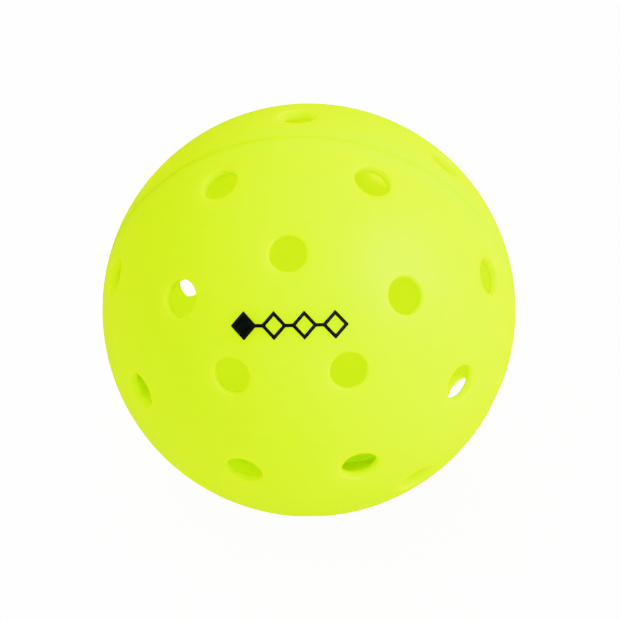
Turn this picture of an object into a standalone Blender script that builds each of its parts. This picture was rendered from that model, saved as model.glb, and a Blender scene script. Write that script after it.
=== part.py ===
"""Forty-hole outdoor pickleball ball, in metres.

Two moulded half shells meet in a stepped weld joint, a weld bead runs round the inside of that joint,
and one ink mark is printed on the front half. The origin is the ball's centre. The weld lies in the XZ
plane, the front half's pole points along -Y and the rear half's along +Y.
"""

from math import acos, cos, pi, radians, sin, sqrt

import bmesh
import bpy
from mathutils import Matrix, Vector

# The ball
BALL_RADIUS = 0.037
WALL = 0.00185
INNER_RADIUS = BALL_RADIUS - WALL

# The air holes, as rings round each half's pole: how many holes, how far from the pole, and where the
# first stands. The front half's outer holes are in pairs of rings that almost make one ring of eight.
HOLE_RADIUS = 0.00335
FRONT_RINGS = (
    (4, radians(23.14), radians(50.7)),
    (4, radians(48.8), radians(48.5)),
    (4, radians(50.2), radians(94.25)),
    (4, radians(76.7), radians(70.85)),
    (4, radians(75.8), radians(114.85)),
)
REAR_RINGS = (
    (4, radians(24.4), radians(54.1)),
    (8, radians(45.8), radians(63.75)),
    (8, radians(77.0), radians(85.9)),
)

# The weld joint: a tongue on the front half's inner side enters a groove in the rear half
JOINT_GAP = 0.0003
TONGUE_THICKNESS = 0.000775
TONGUE_LENGTH = 0.0015
BEAD_WIDTH = 0.0013
BEAD_HEIGHT = 0.0004

# The printed mark: a chain of diamonds, the first one solid
MARK_AZIMUTH = radians(-2.4)
MARK_ELEVATION = radians(30.6)
MARK_ROLL = radians(4.5)
DIAMONDS = 4
DIAMOND_HALF_WIDTH = 0.0023
DIAMOND_HALF_HEIGHT = 0.00255
DIAMOND_PITCH = 0.0053
LINE_WIDTH = 0.0006
LINK_HALF_HEIGHT = 0.0003
INK_GAP = 0.0001
INK_THICKNESS = 0.0001

# How finely the round shapes are divided
ROUND_STEPS = 48
ARC_STEPS = 12
HOLE_SIDES = 16
CAP_STEPS = 10

PLASTIC_COLOR = (0.66, 0.88, 0.03, 1.0)
INK_COLOR = (0.012, 0.014, 0.010, 1.0)

FACE_FRONT = Matrix.Rotation(radians(90.0), 4, "X")
FACE_REAR = Matrix.Rotation(radians(-90.0), 4, "X")


def clear_scene():
    for obj in list(bpy.data.objects):
        bpy.data.objects.remove(obj, do_unlink=True)


def material(name, color, roughness):
    made = bpy.data.materials.new(name)
    made.use_nodes = True
    shader = made.node_tree.nodes["Principled BSDF"]
    shader.inputs["Base Color"].default_value = color
    shader.inputs["Roughness"].default_value = roughness
    shader.inputs["Metallic"].default_value = 0.0
    return made


def object_from(name, shape, placement):
    """A smooth-shaded object made from a bmesh, which is freed, and placed by a matrix."""
    bmesh.ops.recalc_face_normals(shape, faces=shape.faces)
    mesh = bpy.data.meshes.new(name)
    shape.to_mesh(mesh)
    shape.free()
    mesh.shade_smooth()
    mesh.set_sharp_from_angle(angle=radians(35.0))
    obj = bpy.data.objects.new(name, mesh)
    obj.matrix_world = placement
    bpy.context.scene.collection.objects.link(obj)
    return obj


def cut(obj, tool, operation="DIFFERENCE"):
    """Applies a Boolean with a tool that is itself left out of the object."""
    tool.hide_render = True
    tool.display_type = "WIRE"
    boolean = obj.modifiers.new(tool.name, "BOOLEAN")
    boolean.operation = operation
    boolean.solver = "EXACT"
    boolean.object = tool


def spun(profile):
    """A bmesh from a closed profile of (distance from the axis, height) points, spun one turn about Z."""
    shape = bmesh.new()
    corners = [shape.verts.new((reach, 0.0, height)) for reach, height in profile]
    links = zip(corners, corners[1:] + corners[:1])
    # A side that lies on the axis would sweep out no surface.
    edges = [shape.edges.new(link) for link in links if link[0].co.x > 0.0 or link[1].co.x > 0.0]
    bmesh.ops.spin(
        shape,
        geom=corners + edges,
        cent=(0.0, 0.0, 0.0),
        axis=(0.0, 0.0, 1.0),
        dvec=(0.0, 0.0, 0.0),
        angle=2.0 * pi,
        steps=ROUND_STEPS,
        use_merge=True,
    )
    bmesh.ops.remove_doubles(shape, verts=shape.verts, dist=1e-6)
    return shape


def arc(radius, low_height, steps):
    """Points on a circle about the centre, from a height near the joint up to the pole."""
    start = acos(low_height / radius)
    angles = [start * (1.0 - step / steps) for step in range(steps + 1)]
    return [(radius * sin(angle), radius * cos(angle)) for angle in angles[:-1]] + [(0.0, radius)]


def front_profile():
    """The front half's wall, cut through its pole: its inner side runs on below the joint as the tongue."""
    tongue_reach = INNER_RADIUS + TONGUE_THICKNESS
    outer = arc(BALL_RADIUS, JOINT_GAP / 2.0, ARC_STEPS)
    inner = arc(INNER_RADIUS, JOINT_GAP / 2.0, ARC_STEPS)
    inner.reverse()
    tongue = [
        (INNER_RADIUS, -TONGUE_LENGTH),
        (tongue_reach, -TONGUE_LENGTH),
        (tongue_reach, JOINT_GAP / 2.0),
    ]
    return outer + inner + tongue


def rear_profile():
    """The rear half's wall: its outer side reaches the joint, and its inner side stops above the tongue."""
    lip_reach = INNER_RADIUS + TONGUE_THICKNESS + JOINT_GAP
    groove_floor = TONGUE_LENGTH + JOINT_GAP
    outer = arc(BALL_RADIUS, JOINT_GAP / 2.0, ARC_STEPS)
    inner = arc(INNER_RADIUS, groove_floor, ARC_STEPS)
    inner.reverse()
    return outer + inner + [(lip_reach, groove_floor), (lip_reach, JOINT_GAP / 2.0)]


def hole_directions(rings):
    """Unit vectors from the centre through each hole of a half whose pole points along +Z."""
    directions = []
    for count, angle, turn in rings:
        for place in range(count):
            around = turn + 2.0 * pi * place / count
            directions.append(Vector((sin(angle) * cos(around), sin(angle) * sin(around), cos(angle))))
    return directions


def hole_cutters(name, directions, placement):
    """One tool holding a radial cylinder for every hole of a half."""
    shape = bmesh.new()
    depth = 4.0 * WALL
    for direction in directions:
        middle = Matrix.Translation(direction * (BALL_RADIUS - WALL / 2.0))
        aim = direction.to_track_quat("Z", "Y").to_matrix().to_4x4()
        bmesh.ops.create_cone(
            shape,
            cap_ends=True,
            segments=HOLE_SIDES,
            radius1=HOLE_RADIUS,
            radius2=HOLE_RADIUS,
            depth=depth,
            matrix=middle @ aim,
        )
    return object_from(name, shape, placement)


def make_half_shell(name, profile, directions, placement, plastic):
    shell = object_from(name, spun(profile), placement)
    cut(shell, hole_cutters(f"{name}_hole_cutters", directions, placement))
    shell.data.materials.append(plastic)
    return shell


def make_weld_bead(plastic):
    """A half-round ring on the inside of the wall, over the end of the tongue."""
    back = INNER_RADIUS - JOINT_GAP
    line_height = TONGUE_LENGTH + JOINT_GAP / 2.0
    steps = 6
    profile = []
    for step in range(steps + 1):
        angle = pi * step / steps
        profile.append((back - BEAD_HEIGHT * sin(angle), line_height - BEAD_WIDTH / 2.0 * cos(angle)))
    bead = object_from("weld_bead", spun(profile), FACE_REAR)
    bead.data.materials.append(plastic)
    return bead


def diamond(middle, half_width, half_height):
    """A diamond's corners in the mark's plane, counter-clockwise from the left one."""
    return [
        (middle - half_width, 0.0),
        (middle, -half_height),
        (middle + half_width, 0.0),
        (middle, half_height),
    ]


def chain_outline(middles):
    """The outline of all the diamonds and the short links between them, as one polygon."""
    # A link's edge meets a diamond's sloping side this far from the diamond's middle.
    link_reach = DIAMOND_HALF_WIDTH * (1.0 - LINK_HALF_HEIGHT / DIAMOND_HALF_HEIGHT)
    below = []
    for middle in middles:
        left, right = (middle - link_reach, -LINK_HALF_HEIGHT), (middle + link_reach, -LINK_HALF_HEIGHT)
        left = (middle - DIAMOND_HALF_WIDTH, 0.0) if middle == middles[0] else left
        right = (middle + DIAMOND_HALF_WIDTH, 0.0) if middle == middles[-1] else right
        below += [left, (middle, -DIAMOND_HALF_HEIGHT), right]
    above = [(across, -up) for across, up in reversed(below[1:-1])]
    return below + above


def prism(shape, outline, low, high):
    """Adds a straight prism over a polygon outline to a bmesh."""
    base = shape.faces.new([shape.verts.new((across, up, low)) for across, up in outline])
    grown = bmesh.ops.extrude_face_region(shape, geom=[base])["geom"]
    raised = [item for item in grown if isinstance(item, bmesh.types.BMVert)]
    bmesh.ops.translate(shape, verts=raised, vec=(0.0, 0.0, high - low))


def make_printed_mark(ink):
    """A thin spherical cap cut to the mark's outline, with a window in every diamond but the first."""
    placement = (
        Matrix.Rotation(MARK_AZIMUTH, 4, "Z")
        @ Matrix.Rotation(pi / 2.0 - MARK_ELEVATION, 4, "X")
        @ Matrix.Rotation(MARK_ROLL, 4, "Z")
    )
    below_ink = BALL_RADIUS + INK_GAP
    above_ink = below_ink + INK_THICKNESS
    middles = [DIAMOND_PITCH * (place - (DIAMONDS - 1) / 2.0) for place in range(DIAMONDS)]
    reach = middles[-1] + 2.0 * DIAMOND_HALF_WIDTH
    top = arc(above_ink, sqrt(above_ink**2 - reach**2), CAP_STEPS)
    bottom = arc(below_ink, sqrt(below_ink**2 - reach**2), CAP_STEPS)
    bottom.reverse()
    mark = object_from("printed_mark", spun(top + bottom), placement)

    low, high = BALL_RADIUS - DIAMOND_PITCH, BALL_RADIUS + DIAMOND_PITCH
    outline = bmesh.new()
    prism(outline, chain_outline(middles), low, high)
    cut(mark, object_from("mark_outline_cutter", outline, placement), "INTERSECT")

    # A line of one width all round a diamond takes this much off its half height and half width.
    slope = sqrt(DIAMOND_HALF_WIDTH**2 + DIAMOND_HALF_HEIGHT**2)
    narrow = DIAMOND_HALF_WIDTH - LINE_WIDTH * slope / DIAMOND_HALF_HEIGHT
    short = DIAMOND_HALF_HEIGHT - LINE_WIDTH * slope / DIAMOND_HALF_WIDTH
    windows = bmesh.new()
    for middle in middles[1:]:
        prism(windows, diamond(middle, narrow, short), low - WALL, high + WALL)
    cut(mark, object_from("mark_window_cutter", windows, placement))
    mark.data.materials.append(ink)
    return mark


def build_ball():
    clear_scene()
    front_plastic = material("front_half_plastic", PLASTIC_COLOR, 0.42)
    rear_plastic = material("rear_half_plastic", PLASTIC_COLOR, 0.42)
    bead_plastic = material("weld_bead_plastic", PLASTIC_COLOR, 0.30)
    ink = material("black_ink", INK_COLOR, 0.55)

    front_holes = hole_directions(FRONT_RINGS)
    rear_holes = hole_directions(REAR_RINGS)
    make_half_shell("front_half_shell", front_profile(), front_holes, FACE_FRONT, front_plastic)
    make_half_shell("rear_half_shell", rear_profile(), rear_holes, FACE_REAR, rear_plastic)
    make_weld_bead(bead_plastic)
    make_printed_mark(ink)


build_ball()
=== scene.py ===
"""Forty-hole outdoor pickleball ball: the looks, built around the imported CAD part.

The ball is two welded half shells, the weld bead inside them and the ink printed on the front half. Each
piece is built here as a finer mesh that stands for its CAD node. All lengths are in metres, in the part's
own frame: the centre of the ball is the origin, the weld lies in the XZ plane and the front half's pole
points along -Y.
"""
from math import asin, atan2, cos, pi, radians, sin, sqrt

import bpy
import numpy as np
from mathutils import Matrix, Vector
from mathutils.geometry import delaunay_2d_cdt


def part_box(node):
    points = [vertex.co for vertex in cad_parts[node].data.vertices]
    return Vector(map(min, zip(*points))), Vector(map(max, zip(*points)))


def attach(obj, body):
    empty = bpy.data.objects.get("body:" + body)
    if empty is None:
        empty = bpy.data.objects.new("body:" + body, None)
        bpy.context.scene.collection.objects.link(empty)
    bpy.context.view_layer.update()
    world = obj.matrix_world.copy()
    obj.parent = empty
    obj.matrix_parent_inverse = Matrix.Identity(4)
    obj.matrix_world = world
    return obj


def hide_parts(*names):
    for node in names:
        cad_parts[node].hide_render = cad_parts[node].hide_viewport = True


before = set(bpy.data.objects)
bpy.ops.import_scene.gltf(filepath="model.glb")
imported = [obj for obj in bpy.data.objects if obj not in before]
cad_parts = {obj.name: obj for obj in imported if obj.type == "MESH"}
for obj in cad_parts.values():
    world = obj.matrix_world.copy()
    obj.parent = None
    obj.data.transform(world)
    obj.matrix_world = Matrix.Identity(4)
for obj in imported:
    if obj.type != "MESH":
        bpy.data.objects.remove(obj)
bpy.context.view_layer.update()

# The ball, as the CAD part has it
BALL_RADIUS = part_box("front_half_shell")[1].x
WALL = 0.00185
INNER_RADIUS = BALL_RADIUS - WALL
HOLE_RADIUS = 0.00335
# Rings of holes round each half's pole: how many, how far from the pole, and where the first stands
FRONT_RINGS = (
    (4, radians(23.14), radians(50.7)),
    (4, radians(48.8), radians(48.5)),
    (4, radians(50.2), radians(94.25)),
    (4, radians(76.7), radians(70.85)),
    (4, radians(75.8), radians(114.85)),
)
REAR_RINGS = (
    (4, radians(24.4), radians(54.1)),
    (8, radians(45.8), radians(63.75)),
    (8, radians(77.0), radians(85.9)),
)
# How far behind the joint the bead's middle line runs
TONGUE_LENGTH = 0.0015
BEAD_WIDTH = 0.0013
BEAD_HEIGHT = 0.0004
# A half is built with its pole along +Z and then turned to the front or to the rear.
POLE = Vector((0.0, 0.0, 1.0))
FACE_FRONT = Matrix.Rotation(radians(90.0), 3, "X")
FACE_REAR = Matrix.Rotation(radians(-90.0), 3, "X")

# Fine form that the CAD leaves out
RIM_ROUND = 0.00025
INNER_RIM_ROUND = 0.00018
SEAM_GAP = 0.000004
SEAM_DIP = 0.000003
SEAM_DIP_WIDTH = 0.00022
WAVE_HEIGHT = 0.000012
WAVE_COUNT = 14
WAVE_LENGTHS = (0.008, 0.022)
# Waves round the bead and how strong each may be, the mean of its height's share and how much the waves
# change it
BEAD_WAVES = (3, 7, 11, 19, 31, 47)
BEAD_WAVE_STRENGTHS = (0.4, 1.0)
BEAD_MEAN = 0.84
BEAD_SWELL = 0.10
# How far the bead wanders sideways, in how many waves round the ball and where they start
BEAD_DRIFTS = ((0.00003, 5, 1.0), (0.00002, 17, 2.0))
# The height left in the groove between the bead's two rolls, as a share of the whole
BEAD_GROOVE = 0.55
# The bead's distance from the wall, which is twice that in front of its middle line, and how much lower
# the bead is than the CAD part's
BEAD_GAP = 0.00001
BEAD_SPARE = 0.00005

# How finely the shells are divided
HOLE_SIDES = 64
RIM_STEPS = 7
INNER_RIM_STEPS = 5
WALL_STEPS = 5
SEAM_SIDES = 384
JOINT_STEPS = 4
BEAD_SIDES = 720
BEAD_STEPS = 20
SHARP_ANGLE = radians(40.0)
POINT_SPACING = 0.0011
# Rings of points round a hole and along the seam that widen to the spacing of the rest: how far from its
# edge, how many points, and by what share of a step the ring is turned. The seam's rings and the rest stay
# out of a hole's reserve, and the rest stays out of the seam's.
HOLE_RINGS = ((0.00034, 60, 0.5), (0.00078, 48, 0.0), (0.00140, 36, 0.5), (0.00225, 28, 0.0))
HOLE_RESERVE = 0.0031
SEAM_RINGS = (
    (0.00010, SEAM_SIDES, 0.5),
    (0.00022, SEAM_SIDES, 0.0),
    (0.00040, SEAM_SIDES, 0.5),
    (0.00075, SEAM_SIDES, 0.0),
    (0.00135, SEAM_SIDES // 2, 0.5),
    (0.00215, SEAM_SIDES // 2, 0.0),
)
SEAM_RESERVE = 0.0029
# How near two points may be before the flat triangulations take them for one, on the skin's unit disc and
# on the ink's plane in millimetres
SKIN_TOLERANCE = 1e-9
INK_TOLERANCE = 1e-7

# The printed mark, as the CAD part has it, but as thin as real ink
MARK_AZIMUTH = radians(-2.4)
MARK_ELEVATION = radians(30.6)
MARK_ROLL = radians(4.5)
DIAMONDS = 4
DIAMOND_HALF_WIDTH = 0.0023
DIAMOND_HALF_HEIGHT = 0.00255
DIAMOND_PITCH = 0.0053
LINE_WIDTH = 0.0006
LINK_HALF_HEIGHT = 0.0003
INK_LIFT = 0.000008
INK_FILM = 0.000018
# The ink's edge: its points' spacing, how often it is smoothed, how uneven it is, and how often the
# unevenness is smoothed
INK_EDGE_SPACING = 0.00006
INK_EDGE_SOFTENING = 3
INK_EDGE_WOBBLE = 0.000012
WINDOW_EDGE_WOBBLE = 0.000010
WOBBLE_SOFTENING = 4
# The film's inner points: their spacing, how many on each side of the middle, and how many spacings they
# stay from the edge
INK_GRID = 0.00032
INK_GRID_ACROSS = 36
INK_GRID_UP = 9
INK_GRID_CLEARANCE = 0.4

# Seeds of the random draws, and of each plastic's patterns
WAVE_SEED = 11
BEAD_SEED = 5
INK_SEED = 23
FRONT_PATTERN = 0.0
REAR_PATTERN = 40.0
BEAD_PATTERN = 80.0

# Looks. Textures are laid out in millimetres of the part.
MM = 1000.0
PLASTIC_DEEP = (0.65, 0.93, 0.001, 1.0)
PLASTIC_BRIGHT = (0.69, 0.965, 0.003, 1.0)
# The inner skin's colour is lighter than the outer skin's: painted light for the hollow inside.
INSIDE_PAINTED_LIGHT = (0.83, 0.965, 0.003, 1.0)
# Beside the weld the inner skin turns lighter still: painted light where the joint leaves the inside in
# shade.
WELD_INSIDE_PAINTED_LIGHT = (1.0, 1.0, 0.02, 1.0)
# The bead, which does not soak light, has a lighter colour than the outer skin: painted light for its shaded
# place in the joint.
BEAD_PAINTED_LIGHT = (0.92, 0.99, 0.02, 1.0)
# Each noise is given as repeats per millimetre, detail, roughness and a seed that is added to the pattern's.
CLOUD_NOISE = (0.055, 2.0, 0.5, 0.0)
MOTTLE_NOISE = (0.42, 4.0, 0.55, 3.0)
GRAIN_NOISE = (2.6, 3.0, 0.6, 7.0)
# Noise keeps near its middle, so this stretch of it counts as the whole, and a narrower one for the tone.
NOISE_SPAN = (0.3, 0.7)
TONE_SPAN = (0.35, 0.65)
# The specks lie in cells, so many to the millimetre, and a speck's size is a share of its own cell. A cell
# has a speck when its random tint is above these odds. A speck's edge fades over a share of its size.
SPECK_COLOR = (0.05, 0.06, 0.01, 1.0)
SPECK_SCALE = 0.16
SPECK_SIZES = (0.008, 0.022)
SPECK_ODDS = (0.80, 0.81)
SPECK_EDGE = 0.4
SPECK_STRENGTH = 0.7
# Within the wall the inner skin's colour, dullness and soak give way to the outer skin's, between these two
# distances from the wall's sides.
INNER_SKIN = 0.0002
OUTER_SKIN = 0.0004
SATIN_ROUGHNESS = (0.43, 0.51)
GRAIN_ROUGHNESS = 0.02
INNER_ROUGHNESS = (0.56, 0.66)
# How deep red, green and blue light soak in, as shares of the scale. The scale is small at the weld and
# grows to its whole over the reach, and it has values of its own on the inner side.
SOAK_RADIUS = (1.0, 1.0, 0.25)
SOAK_SCALE = 0.008
WELD_SOAK_SCALE = 0.0005
WELD_SOAK_REACH = 0.005
INNER_WELD_SOAK_SCALE = 0.0003
INNER_WELD_SOAK_REACH = 0.008
IOR = 1.45
# How high the surface's unevenness is, and how much of it each noise gives
GRAIN_HEIGHT = 0.000006
GRAIN_SHARE = 0.6
MOTTLE_SHARE = 1.4
INK_DEEP = (0.004, 0.005, 0.004, 1.0)
INK_THIN = (0.010, 0.014, 0.006, 1.0)
INK_CLOUD_NOISE = (1.1, 3.0, 0.6, 2.0)
INK_FINE_NOISE = (9.0, 2.0, 0.5, 5.0)
INK_CLOUD_SHARE = 0.6
INK_FINE_SHARE = 0.4
# Where the ink begins to thin, and where it is thinnest
INK_THIN_SPAN = (0.42, 0.72)
INK_GRAIN_HEIGHT = 0.000004
INK_ROUGHNESS = (0.45, 0.6)

# Stage, with azimuth 0 in front of the ball and 90 degrees on the picture's right
WHITE = (1.0, 1.0, 1.0, 1.0)
VIEW_TRANSFORM = "Khronos PBR Neutral"
FLOOR_REACH = 12.0
# The floor and the room as the camera sees them
FLOOR_WHITE = 6.0
FLOOR_GLARE = 0.30
BACKDROP_WHITE = 6.5
# The floor and the room as they show in the ball's gloss
ROOM_SHEEN = 0.24
# The floor and the room as they light the ball
FLOOR_PALENESS = 0.35
FLOOR_GLOW = 0.70
WORLD_LIGHT = 1.05
LAMP_AZIMUTH = radians(72.0)
LAMP_ELEVATION = radians(38.0)
LAMP_DISTANCE = 1.1
LAMP_SIZE = 0.9
LAMP_POWER = 14.5
CAMERA_AZIMUTH = radians(3.75)
CAMERA_ELEVATION = radians(34.88)
CAMERA_DISTANCE = 0.962
CAMERA_LENS = 312.3
CAMERA_SENSOR = 36.0
CAMERA_CLIP = (0.05, 50.0)
CAMERA_AIM_RIGHT = 0.0002
# Enough bounces for light to soak through the walls and cross the hollow ball
DIFFUSE_BOUNCES = 16
MAX_BOUNCES = 24


def unit_rows(points):
    return points / np.linalg.norm(points, axis=1, keepdims=True)


# ----------------------------------------------------------------------------------------------------
# Meshes
# ----------------------------------------------------------------------------------------------------

wave_random = np.random.default_rng(WAVE_SEED)
WAVE_DIRECTIONS = unit_rows(wave_random.normal(size=(WAVE_COUNT, 3)))
WAVE_NUMBERS = 2.0 * pi / wave_random.uniform(*WAVE_LENGTHS, WAVE_COUNT)
WAVE_PHASES = wave_random.uniform(0.0, 2.0 * pi, WAVE_COUNT)


def waved(points):
    """The points moved along their radius by a moulded surface's slow unevenness and the seam's dip."""
    reach = np.linalg.norm(points, axis=1, keepdims=True)
    at = points / reach * BALL_RADIUS
    height = WAVE_HEIGHT * np.sin(at @ (WAVE_DIRECTIONS * WAVE_NUMBERS[:, None]).T + WAVE_PHASES).sum(1)
    height = height / sqrt(WAVE_COUNT) - SEAM_DIP * np.exp(-((at[:, 1] / SEAM_DIP_WIDTH) ** 2))
    return points * (1.0 + height[:, None] / reach)


class Shape:
    """Points and faces of one mesh as they are gathered."""

    def __init__(self):
        self.blocks, self.faces, self.count = [], [], 0

    def add(self, points):
        first = self.count
        self.blocks.append(np.asarray(points, float).reshape(-1, 3))
        self.count += len(self.blocks[-1])
        return np.arange(first, self.count)

    def band(self, a, b, flip=False):
        """Quads between two closed loops with the same number of points."""
        a2, b2 = np.roll(a, -1), np.roll(b, -1)
        quads = np.stack([a, a2, b2, b], 1)
        self.faces += (quads[:, ::-1] if flip else quads).tolist()

    def points(self):
        return np.concatenate(self.blocks)


def mesh_object(name, points, faces, looks):
    """A smooth-shaded object with its material, in the scene."""
    mesh = bpy.data.meshes.new(name)
    mesh.from_pydata([tuple(p) for p in points.tolist()], [], faces)
    mesh.validate()
    mesh.shade_smooth()
    mesh.set_sharp_from_angle(angle=SHARP_ANGLE)
    mesh.materials.append(looks)
    obj = bpy.data.objects.new(name, mesh)
    bpy.context.scene.collection.objects.link(obj)
    return obj


def ring_about(axis, reach, height, sides, offset=0.0):
    """Points of a circle about an axis through the centre, counter-clockwise seen from outside."""
    side = Vector((0.0, 0.0, 1.0)) if abs(axis.z) < 0.9 else Vector((1.0, 0.0, 0.0))
    across = np.array(axis.cross(side).normalized())
    along = np.array(axis)
    up = np.cross(along, across)
    angles = (np.arange(sides) + offset) * 2.0 * pi / sides
    return along * height + reach * (np.cos(angles)[:, None] * across + np.sin(angles)[:, None] * up)


def hole_directions(rings):
    """Unit vectors from the centre through each hole of a half whose pole points along +Z."""
    directions = []
    for count, angle, turn in rings:
        for place in range(count):
            around = turn + 2.0 * pi * place / count
            directions.append(Vector((sin(angle) * cos(around), sin(angle) * sin(around), cos(angle))))
    return directions


def hole_profile():
    """(distance from the hole's axis, height along it), from the outer surface round the rim and in through
    the wall to the inner surface."""
    outer_reach, outer_centre = HOLE_RADIUS + RIM_ROUND, BALL_RADIUS - RIM_ROUND
    outer_height = sqrt(outer_centre**2 - outer_reach**2)
    inner_reach, inner_centre = HOLE_RADIUS + INNER_RIM_ROUND, INNER_RADIUS + INNER_RIM_ROUND
    inner_height = sqrt(inner_centre**2 - inner_reach**2)
    start = asin(outer_reach / outer_centre)
    profile = []
    for step in range(RIM_STEPS + 1):
        angle = start + (-pi / 2.0 - start) * step / RIM_STEPS
        profile.append((outer_reach + RIM_ROUND * sin(angle), outer_height + RIM_ROUND * cos(angle)))
    for step in range(1, WALL_STEPS):
        profile.append((HOLE_RADIUS, outer_height + (inner_height - outer_height) * step / WALL_STEPS))
    end = -(pi - asin(inner_reach / inner_centre))
    for step in range(INNER_RIM_STEPS + 1):
        angle = -pi / 2.0 + (end + pi / 2.0) * step / INNER_RIM_STEPS
        reach = inner_reach + INNER_RIM_ROUND * sin(angle)
        profile.append((reach, inner_height + INNER_RIM_ROUND * cos(angle)))
    return profile


def loop_edges(loops):
    """The edges of closed loops whose points are numbered one loop after another."""
    edges, start = [], 0
    for loop in loops:
        n = len(loop)
        edges += [(start + k, start + (k + 1) % n) for k in range(n)]
        start += n
    return edges


def skin(shape, radius, seam_loop, hole_loops, axes, hole_angle):
    """Triangles over the part of a sphere between the seam loop and the holes, as seen from outside."""
    loops = [seam_loop] + hole_loops
    known = shape.points()
    points = [known[loop] for loop in loops]
    edges = loop_edges(loops)
    axis_rows = np.array([list(axis) for axis in axes])

    free = []
    for axis in axes:
        for beyond, sides, offset in HOLE_RINGS:
            angle = hole_angle + beyond / radius
            free.append(ring_about(axis, radius * sin(angle), radius * cos(angle), sides, offset))
    hole_reserve = hole_angle + HOLE_RESERVE / radius
    for above, sides, offset in SEAM_RINGS:
        angle = pi / 2.0 - above / radius
        ring = ring_about(POLE, radius * sin(angle), radius * cos(angle), sides, offset)
        apart = unit_rows(ring) @ axis_rows.T
        free.append(ring[(apart < cos(hole_reserve)).all(1)])
    # A sunflower spiral over the rest
    total = int(4.0 * pi * radius**2 / (POINT_SPACING**2 * sqrt(3.0) / 2.0))
    index = np.arange(total) + 0.5
    z = 1.0 - 2.0 * index / total
    turn = index * pi * (3.0 - sqrt(5.0))
    flat = np.sqrt(1.0 - z * z)
    spiral = np.stack([flat * np.cos(turn), flat * np.sin(turn), z], 1)
    spiral = spiral[z > SEAM_RESERVE / radius]
    apart = spiral @ axis_rows.T
    free.append(spiral[(apart < cos(hole_reserve)).all(1)] * radius)
    free = np.concatenate(free)

    everything = np.concatenate(points + [free])
    directions = unit_rows(everything)
    # Seen from the far pole a sphere's circles stay circles, so the flat triangulation is the sphere's own.
    flat_points = directions[:, :2] / (1.0 + directions[:, 2:])
    result = delaunay_2d_cdt([Vector(p) for p in flat_points.tolist()], edges, [], 0, SKIN_TOLERANCE, True)
    if len(result[0]) != len(everything):
        raise RuntimeError("the triangulation merged or split points")
    source = np.array([origin[0] for origin in result[3]])
    triangles = source[np.array(result[2])]
    centre = unit_rows(directions[triangles].mean(1))
    in_no_hole = (centre @ axis_rows.T < cos(hole_angle)).all(1)
    index_of = np.concatenate([np.concatenate(loops), shape.add(free)])
    return index_of[triangles[in_no_hole]]


def half_shell(name, axes, placement, looks):
    """One closed half shell: outer skin, hole walls, inner skin and the joint's face."""
    shape = Shape()
    hole_rows = hole_profile()
    outer_loops, inner_loops = [], []
    for axis in axes:
        rings = [shape.add(ring_about(axis, reach, height, HOLE_SIDES)) for reach, height in hole_rows]
        for a, b in zip(rings, rings[1:]):
            shape.band(a, b)
        outer_loops.append(rings[0])
        inner_loops.append(rings[-1])
    edge_height = SEAM_GAP / 2.0
    seam_rings = []
    for step in range(JOINT_STEPS + 1):
        radius = BALL_RADIUS + (INNER_RADIUS - BALL_RADIUS) * step / JOINT_STEPS
        reach = sqrt(radius**2 - edge_height**2)
        seam_rings.append(shape.add(ring_about(POLE, reach, edge_height, SEAM_SIDES)))
    for a, b in zip(seam_rings, seam_rings[1:]):
        shape.band(a, b, flip=True)
    outer_angle = atan2(*hole_rows[0])
    inner_angle = atan2(*hole_rows[-1])
    outer = skin(shape, BALL_RADIUS, seam_rings[0], outer_loops, axes, outer_angle)
    shape.faces += outer.tolist()
    inner = skin(shape, INNER_RADIUS, seam_rings[-1], inner_loops, axes, inner_angle)
    shape.faces += inner[:, ::-1].tolist()
    points = waved(shape.points() @ np.array(placement).T)
    return mesh_object(name, points, shape.faces, looks)


def weld_bead(name, looks):
    """The double roll of plastic squeezed out along the inside of the joint. Its height is uneven and it
    strays a little sideways."""
    shape = Shape()
    line_height = TONGUE_LENGTH + SEAM_GAP / 2.0
    angles = np.arange(BEAD_SIDES) * 2.0 * pi / BEAD_SIDES
    random = np.random.default_rng(BEAD_SEED)
    swell = sum(
        random.uniform(*BEAD_WAVE_STRENGTHS)
        * np.sin(angles * waves + random.uniform(0.0, 2.0 * pi))
        / sqrt(waves)
        for waves in BEAD_WAVES
    )
    height_factor = BEAD_MEAN + BEAD_SWELL * swell
    drift = sum(reach * np.sin(angles * waves + start) for reach, waves, start in BEAD_DRIFTS)
    rings = []
    for step in range(BEAD_STEPS):
        share = step / (BEAD_STEPS - 1)
        across = BEAD_WIDTH / 2.0 * (1.0 - 2.0 * share)
        # Two rounded rolls that meet in a groove along the middle
        roll = abs(2.0 * share - 1.0)
        lift = sqrt(max(0.0, 1.0 - (2.0 * roll - 1.0) ** 2))
        lift = max(lift, BEAD_GROOVE * (1.0 - roll)) if 0 < step < BEAD_STEPS - 1 else 0.0
        height = line_height - across + drift
        back = np.sqrt(INNER_RADIUS**2 - height**2) - BEAD_GAP
        back = np.where(height < TONGUE_LENGTH, back - BEAD_GAP, back)
        reach = back - (BEAD_HEIGHT - BEAD_SPARE) * lift * height_factor
        rings.append(shape.add(np.stack([reach * np.cos(angles), reach * np.sin(angles), height], 1)))
    for a, b in zip(rings, rings[1:] + rings[:1]):
        shape.band(a, b, flip=True)
    points = waved(shape.points() @ np.array(FACE_REAR).T)
    return mesh_object(name, points, shape.faces, looks)


def smoothed(values):
    """The values of a closed loop, each drawn towards its two neighbours."""
    return 0.5 * values + 0.25 * (np.roll(values, 1, 0) + np.roll(values, -1, 0))


def closed_path(corners, wobble, random):
    """A polygon's outline as close points, its corners a little rounded and its edge a little uneven."""
    points = []
    for start, end in zip(corners, corners[1:] + corners[:1]):
        start, end = np.array(start), np.array(end)
        count = max(1, round(float(np.linalg.norm(end - start)) / INK_EDGE_SPACING))
        points += [start + (end - start) * step / count for step in range(count)]
    points = np.array(points)
    for _ in range(INK_EDGE_SOFTENING):
        points = smoothed(points)
    unevenness = random.normal(size=points.shape)
    for _ in range(WOBBLE_SOFTENING):
        unevenness = smoothed(unevenness)
    return points + wobble * unevenness


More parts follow.
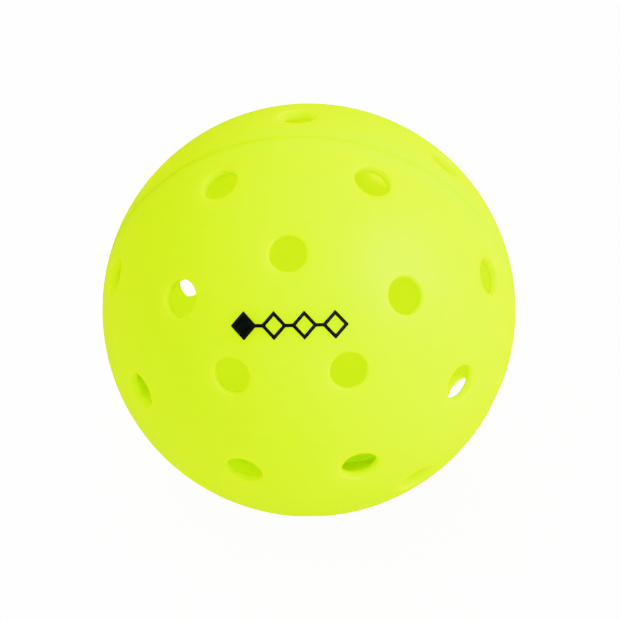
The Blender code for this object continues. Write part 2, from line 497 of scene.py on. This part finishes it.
def inside(points, loop):
    """Which points lie inside a closed loop."""
    x, y = points[:, 0], points[:, 1]
    hit = np.zeros(len(points), bool)
    for (x0, y0), (x1, y1) in zip(loop, np.roll(loop, -1, 0)):
        crosses = (y0 > y) != (y1 > y)
        with np.errstate(divide="ignore", invalid="ignore"):
            hit ^= crosses & (x < (x1 - x0) * (y - y0) / (y1 - y0) + x0)
    return hit


def diamond(middle, half_width, half_height):
    """A diamond's corners in the mark's plane, counter-clockwise from the left one."""
    return [
        (middle - half_width, 0.0),
        (middle, -half_height),
        (middle + half_width, 0.0),
        (middle, half_height),
    ]


def chain_outline(middles):
    """The outline of all the diamonds and the short links between them, as one polygon."""
    # A link's edge meets a diamond's sloping side this far from the diamond's middle.
    link_reach = DIAMOND_HALF_WIDTH * (1.0 - LINK_HALF_HEIGHT / DIAMOND_HALF_HEIGHT)
    below = []
    for middle in middles:
        left, right = (middle - link_reach, -LINK_HALF_HEIGHT), (middle + link_reach, -LINK_HALF_HEIGHT)
        left = (middle - DIAMOND_HALF_WIDTH, 0.0) if middle == middles[0] else left
        right = (middle + DIAMOND_HALF_WIDTH, 0.0) if middle == middles[-1] else right
        below += [left, (middle, -DIAMOND_HALF_HEIGHT), right]
    return below + [(across, -up) for across, up in reversed(below[1:-1])]


def print_film(name, looks):
    """The ink: a film that follows the ball, cut to a chain of diamonds with a window in all but one."""
    random = np.random.default_rng(INK_SEED)
    middles = [DIAMOND_PITCH * (place - (DIAMONDS - 1) / 2.0) for place in range(DIAMONDS)]
    # A line of one width all round a diamond takes this much off its half height and half width.
    slope = sqrt(DIAMOND_HALF_WIDTH**2 + DIAMOND_HALF_HEIGHT**2)
    narrow = DIAMOND_HALF_WIDTH - LINE_WIDTH * slope / DIAMOND_HALF_HEIGHT
    short = DIAMOND_HALF_HEIGHT - LINE_WIDTH * slope / DIAMOND_HALF_WIDTH
    loops = [closed_path(chain_outline(middles), INK_EDGE_WOBBLE, random)]
    for middle in middles[1:]:
        loops.append(closed_path(diamond(middle, narrow, short), WINDOW_EDGE_WOBBLE, random))

    def inked(points):
        """Which points lie in the outline and in no window."""
        held = inside(points, loops[0])
        for window in loops[1:]:
            held &= ~inside(points, window)
        return held

    # Inner points keep the film on the ball's curve.
    across, up = np.meshgrid(
        np.arange(-INK_GRID_ACROSS, INK_GRID_ACROSS + 1) * INK_GRID,
        np.arange(-INK_GRID_UP, INK_GRID_UP + 1) * INK_GRID,
    )
    grid = np.stack([across.ravel(), up.ravel()], 1)
    edge_points = np.concatenate(loops)
    from_edge = np.linalg.norm(grid[:, None] - edge_points[None], axis=2).min(1)
    flat = np.concatenate([edge_points, grid[inked(grid) & (from_edge >= INK_GRID_CLEARANCE * INK_GRID)]])
    flat_points = [Vector(p) for p in (flat * MM).tolist()]
    result = delaunay_2d_cdt(flat_points, loop_edges(loops), [], 0, INK_TOLERANCE, True)
    source = np.array([origin[0] for origin in result[3]])
    tri = source[np.array(result[2])]
    tri = tri[inked(flat[tri].mean(1))]

    placement = (
        Matrix.Rotation(MARK_AZIMUTH, 3, "Z")
        @ Matrix.Rotation(pi / 2.0 - MARK_ELEVATION, 3, "X")
        @ Matrix.Rotation(MARK_ROLL, 3, "Z")
    )
    count = len(flat)
    layers = []
    for radius in (BALL_RADIUS + INK_LIFT, BALL_RADIUS + INK_LIFT + INK_FILM):
        layers.append(np.column_stack([flat, np.sqrt(radius**2 - (flat**2).sum(1))]))
    points = waved(np.concatenate(layers) @ np.array(placement).T)
    faces = (tri[:, ::-1]).tolist() + (tri + count).tolist()
    ends = np.concatenate([tri[:, [0, 1]], tri[:, [1, 2]], tri[:, [2, 0]]])
    shared = {(int(a), int(b)) for a, b in ends}
    faces += [[a, b, b + count, a + count] for a, b in sorted(shared) if (b, a) not in shared]
    return mesh_object(name, points, faces, looks)


# ----------------------------------------------------------------------------------------------------
# Materials
# ----------------------------------------------------------------------------------------------------


def node(tree, kind, inputs=None, **settings):
    """A shader node with its settings, and its inputs either set or linked."""
    made = tree.nodes.new(kind)
    for key, value in settings.items():
        setattr(made, key, value)
    for key, value in (inputs or {}).items():
        if isinstance(value, bpy.types.NodeSocket):
            tree.links.new(value, made.inputs[key])
        else:
            made.inputs[key].default_value = value
    return made


def maths(tree, operation, a, b=0.0, clamp=False):
    return node(tree, "ShaderNodeMath", {0: a, 1: b}, operation=operation, use_clamp=clamp).outputs[0]


def ranged(tree, value, from_low, from_high, to_low, to_high):
    """A value carried from one range to another and kept inside it."""
    made = node(
        tree,
        "ShaderNodeMapRange",
        {"Value": value, "From Min": from_low, "From Max": from_high, "To Min": to_low, "To Max": to_high},
    )
    return made.outputs["Result"]


def blended(tree, factor, a, b):
    """A colour that goes from a to b with the factor."""
    return node(tree, "ShaderNodeMix", {0: factor, 6: a, 7: b}, data_type="RGBA").outputs[2]


def between(tree, factor, a, b):
    """A number that goes from a to b with the factor."""
    return node(tree, "ShaderNodeMix", {0: factor, 2: a, 3: b}, data_type="FLOAT").outputs[0]


def new_looks(name):
    """A new material with its node tree, its shader and the place on the part in millimetres."""
    looks = bpy.data.materials.new(name)
    looks.use_nodes = True
    tree = looks.node_tree
    shader = tree.nodes["Principled BSDF"]
    coordinates = node(tree, "ShaderNodeTexCoord")
    in_mm = node(tree, "ShaderNodeVectorMath", {0: coordinates.outputs["Object"]}, operation="SCALE")
    in_mm.inputs["Scale"].default_value = MM
    return looks, tree, shader, in_mm.outputs[0]


def noise(tree, place, kind, pattern=0.0):
    scale, detail, rough, seed = kind
    made = node(
        tree,
        "ShaderNodeTexNoise",
        {"Vector": place, "W": pattern + seed, "Scale": scale, "Detail": detail, "Roughness": rough},
        noise_dimensions="4D",
    )
    return made.outputs["Fac"]


def weighted(tree, a, a_share, b, b_share):
    """The sum of two values, each times its share."""
    return maths(tree, "ADD", maths(tree, "MULTIPLY", a, a_share), maths(tree, "MULTIPLY", b, b_share))


def moulded_plastic(name, pattern, soaks=True):
    """Neon yellow-green polyethylene with a satin moulded surface. Light soaks into it and comes out again,
    unless it is told not to."""
    looks, tree, shader, place = new_looks(name)
    cloud = noise(tree, place, CLOUD_NOISE, pattern)
    mottle = noise(tree, place, MOTTLE_NOISE, pattern)
    grain = noise(tree, place, GRAIN_NOISE, pattern)
    tone = ranged(tree, weighted(tree, cloud, 0.5, mottle, 0.5), *TONE_SPAN, 0.0, 1.0)
    outer = blended(tree, tone, PLASTIC_DEEP, PLASTIC_BRIGHT)
    from_centre = node(tree, "ShaderNodeVectorMath", {0: place}, operation="LENGTH").outputs["Value"]
    skin_low, skin_high = (INNER_RADIUS + INNER_SKIN) * MM, (BALL_RADIUS - OUTER_SKIN) * MM
    outside = ranged(tree, from_centre, skin_low, skin_high, 0.0, 1.0)
    from_weld = maths(tree, "ABSOLUTE", node(tree, "ShaderNodeSeparateXYZ", {0: place}).outputs["Y"])
    # Painted light: beside the weld the inner skin's colour turns lighter, where the joint leaves the inside
    # in shade.
    weld_painted_light_mask = ranged(tree, from_weld, 0.0, INNER_WELD_SOAK_REACH * MM, 1.0, 0.0)
    # The inner skin has a lighter colour than the outer skin, painted light for the hollow inside.
    inner = blended(tree, weld_painted_light_mask, INSIDE_PAINTED_LIGHT, WELD_INSIDE_PAINTED_LIGHT)
    # The bead's colour is lighter than the outer skin's, painted light for its shaded place in the joint.
    color = blended(tree, outside, inner if soaks else BEAD_PAINTED_LIGHT, outer)

    # A few dark specks of stray pigment
    cells = node(
        tree,
        "ShaderNodeTexVoronoi",
        {"Vector": place, "W": pattern, "Scale": SPECK_SCALE, "Randomness": 1.0},
        voronoi_dimensions="4D",
        feature="F1",
    )
    tint = node(tree, "ShaderNodeSeparateColor", {"Color": cells.outputs["Color"]})
    chosen = ranged(tree, tint.outputs[0], *SPECK_ODDS, 0.0, 1.0)
    size = ranged(tree, tint.outputs[1], 0.0, 1.0, *SPECK_SIZES)
    from_speck = maths(tree, "DIVIDE", cells.outputs["Distance"], size)
    closeness = maths(tree, "SUBTRACT", 1.0, from_speck, clamp=True)
    depth = ranged(tree, closeness, 0.0, SPECK_EDGE, 0.0, SPECK_STRENGTH)
    speck = maths(tree, "MULTIPLY", chosen, depth, clamp=True)
    color = blended(tree, speck, color, SPECK_COLOR)

    satin = ranged(tree, mottle, *NOISE_SPAN, *SATIN_ROUGHNESS)
    satin = maths(tree, "ADD", satin, ranged(tree, grain, *NOISE_SPAN, -GRAIN_ROUGHNESS, GRAIN_ROUGHNESS))
    dull = ranged(tree, mottle, *NOISE_SPAN, *INNER_ROUGHNESS)
    height = weighted(tree, grain, GRAIN_SHARE, mottle, MOTTLE_SHARE)
    bump = node(tree, "ShaderNodeBump", {"Height": height, "Strength": 1.0, "Distance": GRAIN_HEIGHT})

    # Light soaks less deep beside the weld, so that less of it is lost in the joint.
    outer_soak = ranged(tree, from_weld, 0.0, WELD_SOAK_REACH * MM, WELD_SOAK_SCALE, SOAK_SCALE)
    inner_soak = ranged(tree, from_weld, 0.0, INNER_WELD_SOAK_REACH * MM, INNER_WELD_SOAK_SCALE, SOAK_SCALE)

    tree.links.new(color, shader.inputs["Base Color"])
    tree.links.new(between(tree, outside, dull, satin), shader.inputs["Roughness"])
    tree.links.new(bump.outputs["Normal"], shader.inputs["Normal"])
    tree.links.new(between(tree, outside, inner_soak, outer_soak), shader.inputs["Subsurface Scale"])
    shader.inputs["IOR"].default_value = IOR
    shader.inputs["Subsurface Weight"].default_value = 1.0 if soaks else 0.0
    shader.inputs["Subsurface Radius"].default_value = SOAK_RADIUS
    return looks


def printed_ink(name):
    """Black pad-printing ink, a little thin in places."""
    looks, tree, shader, place = new_looks(name)
    cloud = noise(tree, place, INK_CLOUD_NOISE)
    fine = noise(tree, place, INK_FINE_NOISE)
    thin = weighted(tree, cloud, INK_CLOUD_SHARE, fine, INK_FINE_SHARE)
    color = blended(tree, ranged(tree, thin, *INK_THIN_SPAN, 0.0, 1.0), INK_DEEP, INK_THIN)
    bump = node(tree, "ShaderNodeBump", {"Height": fine, "Strength": 1.0, "Distance": INK_GRAIN_HEIGHT})
    tree.links.new(color, shader.inputs["Base Color"])
    tree.links.new(ranged(tree, cloud, *NOISE_SPAN, *INK_ROUGHNESS), shader.inputs["Roughness"])
    tree.links.new(bump.outputs["Normal"], shader.inputs["Normal"])
    return looks


# ----------------------------------------------------------------------------------------------------
# Stage
# ----------------------------------------------------------------------------------------------------


def glow(tree, strength):
    """An even white light."""
    return node(tree, "ShaderNodeEmission", {"Color": WHITE, "Strength": strength}).outputs[0]


def matte(tree, grey):
    return node(tree, "ShaderNodeBsdfDiffuse", {"Color": (grey, grey, grey, 1.0)}).outputs[0]


def studio_floor():
    """A wide pale floor. It throws soft light up at the ball, shows dim in the ball's gloss, and looks as
    bright to the camera as an overexposed studio sweep."""
    looks = bpy.data.materials.new("studio_floor")
    looks.use_nodes = True
    tree = looks.node_tree
    tree.nodes.clear()
    ray = node(tree, "ShaderNodeLightPath").outputs
    lit = node(tree, "ShaderNodeAddShader", {0: matte(tree, FLOOR_PALENESS), 1: glow(tree, FLOOR_GLOW)})
    in_gloss = {0: ray["Is Glossy Ray"], 1: lit.outputs[0], 2: glow(tree, ROOM_SHEEN)}
    plain = node(tree, "ShaderNodeMixShader", in_gloss)
    bright = node(tree, "ShaderNodeAddShader", {0: glow(tree, FLOOR_WHITE), 1: matte(tree, FLOOR_GLARE)})
    in_view = {0: ray["Is Camera Ray"], 1: plain.outputs[0], 2: bright.outputs[0]}
    surface = node(tree, "ShaderNodeMixShader", in_view)
    node(tree, "ShaderNodeOutputMaterial", {"Surface": surface.outputs[0]})
    mesh = bpy.data.meshes.new("floor")
    corners = [
        (-FLOOR_REACH, -FLOOR_REACH),
        (FLOOR_REACH, -FLOOR_REACH),
        (FLOOR_REACH, FLOOR_REACH),
        (-FLOOR_REACH, FLOOR_REACH),
    ]
    mesh.from_pydata([(x, y, -BALL_RADIUS) for x, y in corners], [], [(0, 1, 2, 3)])
    mesh.materials.append(looks)
    floor = bpy.data.objects.new("floor", mesh)
    bpy.context.scene.collection.objects.link(floor)


def toward(azimuth, elevation):
    """The direction from the ball to something at this azimuth and elevation."""
    return Vector((sin(azimuth) * cos(elevation), -cos(azimuth) * cos(elevation), sin(elevation)))


def studio_light():
    """An even white room that shows dim in the ball's gloss, and one large soft lamp on the right."""
    world = bpy.data.worlds.new("studio")
    bpy.context.scene.world = world
    world.use_nodes = True
    tree = world.node_tree
    tree.nodes.clear()
    ray = node(tree, "ShaderNodeLightPath").outputs
    strength = ranged(tree, ray["Is Glossy Ray"], 0.0, 1.0, WORLD_LIGHT, ROOM_SHEEN)
    soft = node(tree, "ShaderNodeBackground", {"Color": WHITE, "Strength": strength})
    bright = node(tree, "ShaderNodeBackground", {"Color": WHITE, "Strength": BACKDROP_WHITE})
    in_view = {0: ray["Is Camera Ray"], 1: soft.outputs[0], 2: bright.outputs[0]}
    surface = node(tree, "ShaderNodeMixShader", in_view)
    node(tree, "ShaderNodeOutputWorld", {"Surface": surface.outputs[0]})

    data = bpy.data.lights.new("key_light", "AREA")
    data.shape, data.size, data.energy = "DISK", LAMP_SIZE, LAMP_POWER
    lamp = bpy.data.objects.new("key_light", data)
    to_lamp = toward(LAMP_AZIMUTH, LAMP_ELEVATION)
    lamp.location = to_lamp * LAMP_DISTANCE
    lamp.rotation_euler = to_lamp.to_track_quat("Z", "Y").to_euler()
    lamp.visible_camera = False
    bpy.context.scene.collection.objects.link(lamp)


def camera():
    data = bpy.data.cameras.new("camera")
    data.lens, data.sensor_width = CAMERA_LENS, CAMERA_SENSOR
    data.clip_start, data.clip_end = CAMERA_CLIP
    cam = bpy.data.objects.new("camera", data)
    back = toward(CAMERA_AZIMUTH, CAMERA_ELEVATION)
    right = Vector((cos(CAMERA_AZIMUTH), sin(CAMERA_AZIMUTH), 0.0))
    cam.location = right * CAMERA_AIM_RIGHT + back * CAMERA_DISTANCE
    cam.rotation_mode = "QUATERNION"
    cam.rotation_quaternion = (-back).to_track_quat("-Z", "Y")
    bpy.context.scene.collection.objects.link(cam)
    bpy.context.scene.camera = cam


plastic_front = moulded_plastic("front_half_plastic", FRONT_PATTERN)
plastic_rear = moulded_plastic("rear_half_plastic", REAR_PATTERN)
plastic_bead = moulded_plastic("weld_bead_plastic", BEAD_PATTERN, soaks=False)
front_axes = hole_directions(FRONT_RINGS)
rear_axes = hole_directions(REAR_RINGS)
front = half_shell("front_half", front_axes, FACE_FRONT, plastic_front)
rear = half_shell("rear_half", rear_axes, FACE_REAR, plastic_rear)
bead = weld_bead("inner_weld_bead", plastic_bead)
film = print_film("ink_film", printed_ink("black_ink"))

for piece, cad_node, slot in (
    (front, "front_half_shell", "front_shell_plastic"),
    (rear, "rear_half_shell", "rear_shell_plastic"),
    (bead, "weld_bead", "weld_bead_plastic"),
    (film, "printed_mark", "printed_ink"),
):
    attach(piece, "root")
    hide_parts(cad_node)

studio_floor()
studio_light()
camera()
bpy.context.scene.view_settings.view_transform = VIEW_TRANSFORM
bpy.context.scene.cycles.diffuse_bounces = DIFFUSE_BOUNCES
bpy.context.scene.cycles.max_bounces = MAX_BOUNCES
